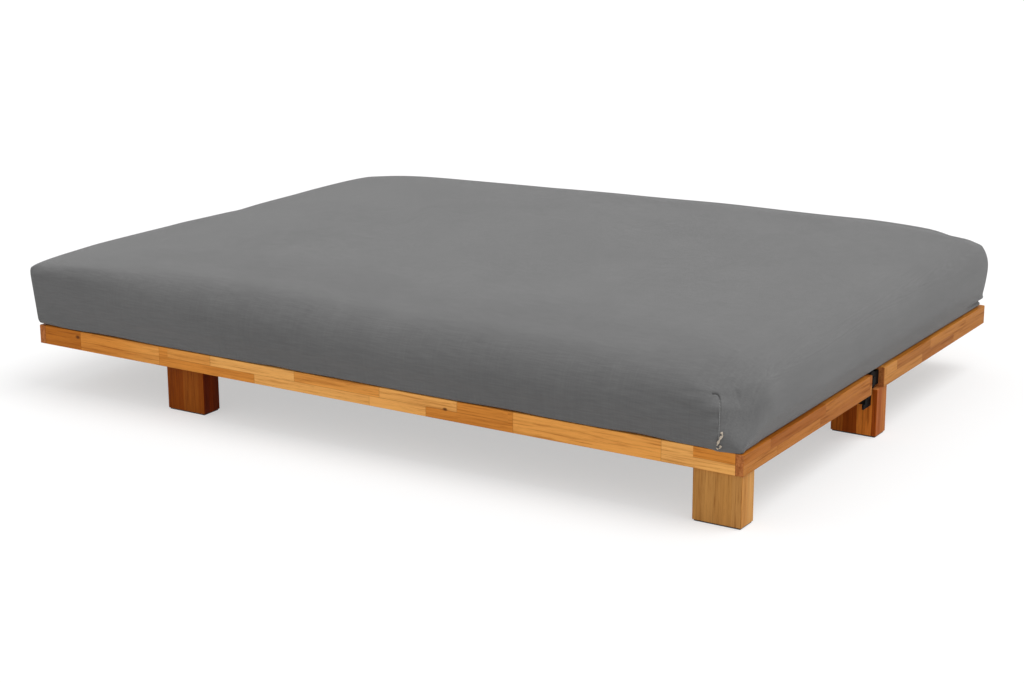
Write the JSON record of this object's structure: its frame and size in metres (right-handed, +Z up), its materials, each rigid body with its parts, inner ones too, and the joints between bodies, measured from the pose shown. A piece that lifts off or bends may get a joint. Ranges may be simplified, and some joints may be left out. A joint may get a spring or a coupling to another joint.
{
  "type": "futon bed",
  "caption": "Low slatted timber futon bed on block legs, with a back section that tilts up on locking steel hinges and a thick plain fabric futon over both sections.",
  "frame": {"origin": "on the floor under the middle of the bed, with the back's hinge axis straight above it", "axes": "+X along the bed to the right of a person facing its front, +Y from the front rail to the back's top rail, +Z up"},
  "size_m": [1.928, 1.398, 0.3463],
  "materials": {
    "rail_oak": "oiled, laminated from short staves",
    "leg_oak": "oiled, glued upright staves",
    "slat_wood": "planed, unfinished",
    "black_steel": "black paint",
    "zinc_steel": "zinc plated",
    "felt": "pressed felt",
    "futon_cover": "plain woven cotton"
  },
  "bodies": {
    "seat": {"bracket_screws": "zinc_steel", "front_leg_blocks": "slat_wood", "front_leg_bolts": "zinc_steel", "front_leg_left": "leg_oak", "front_leg_right": "leg_oak", "futon_fold": "futon_cover", "futon_seat_half": "futon_cover", "hinge_bracket_left": "black_steel", "hinge_bracket_right": "black_steel", "hinge_leg_left": "leg_oak", "hinge_leg_right": "leg_oak", "hinge_pins": "black_steel", "leg_stretcher": "rail_oak", "seat_dowels": "slat_wood", "seat_front_rail": "rail_oak", "seat_hinge_rail": "rail_oak", "seat_leg_pads": "felt", "seat_side_rail_left": "rail_oak", "seat_side_rail_right": "rail_oak", "seat_slat_01": "slat_wood", "seat_slat_02": "slat_wood", "seat_slat_03": "slat_wood", "seat_slat_04": "slat_wood", "seat_slat_05": "slat_wood", "seat_slat_06": "slat_wood", "seat_slat_07": "slat_wood", "seat_slat_08": "slat_wood", "seat_slat_09": "slat_wood", "seat_slat_10": "slat_wood", "seat_slat_ledges": "slat_wood"},
    "back": {"arm_screws": "zinc_steel", "back_dowels": "slat_wood", "back_hinge_rail": "rail_oak", "back_side_rail_left": "rail_oak", "back_side_rail_right": "rail_oak", "back_slat_01": "slat_wood", "back_slat_02": "slat_wood", "back_slat_03": "slat_wood", "back_slat_04": "slat_wood", "back_slat_05": "slat_wood", "back_slat_06": "slat_wood", "back_slat_07": "slat_wood", "back_slat_08": "slat_wood", "back_slat_09": "slat_wood", "back_slat_10": "slat_wood", "back_slat_ledges": "slat_wood", "back_top_rail": "rail_oak", "futon_back_half": "futon_cover", "hinge_arm_left": "black_steel", "hinge_arm_right": "black_steel", "rear_leg_blocks": "slat_wood", "rear_leg_pins": "black_steel", "rear_leg_stirrups": "black_steel"},
    "rear_leg_right": {"rear_leg_right": "leg_oak", "rear_leg_pad_right": "felt"},
    "rear_leg_left": {"rear_leg_left": "leg_oak", "rear_leg_pad_left": "felt"},
    "lever_right": {"lock_lever_right": "black_steel"},
    "lever_left": {"lock_lever_left": "black_steel"}
  },
  "joints": [
    {"name": "back_fold", "type": "hinge", "parent": "seat", "child": "back", "pos_m": [0, 0, 0.137], "axis": [1, 0, 0], "range_deg": [0, 75], "deforming": ["futon_fold"]},
    {"name": "rear_leg_right_fold", "type": "hinge", "parent": "back", "child": "rear_leg_right", "pos_m": [0.516, 0.613, 0.0907], "axis": [-1, 0, 0], "range_deg": [0, 90]},
    {"name": "rear_leg_left_fold", "type": "hinge", "parent": "back", "child": "rear_leg_left", "pos_m": [-0.516, 0.613, 0.0907], "axis": [-1, 0, 0], "range_deg": [0, 90]},
    {"name": "lever_right_lock", "type": "hinge", "parent": "seat", "child": "lever_right", "pos_m": [0.934, -0.026, 0.1067], "axis": [1, 0, 0], "range_deg": [0, 10]},
    {"name": "lever_left_lock", "type": "hinge", "parent": "seat", "child": "lever_left", "pos_m": [-0.934, -0.026, 0.1067], "axis": [1, 0, 0], "range_deg": [0, 10]}
  ]
}
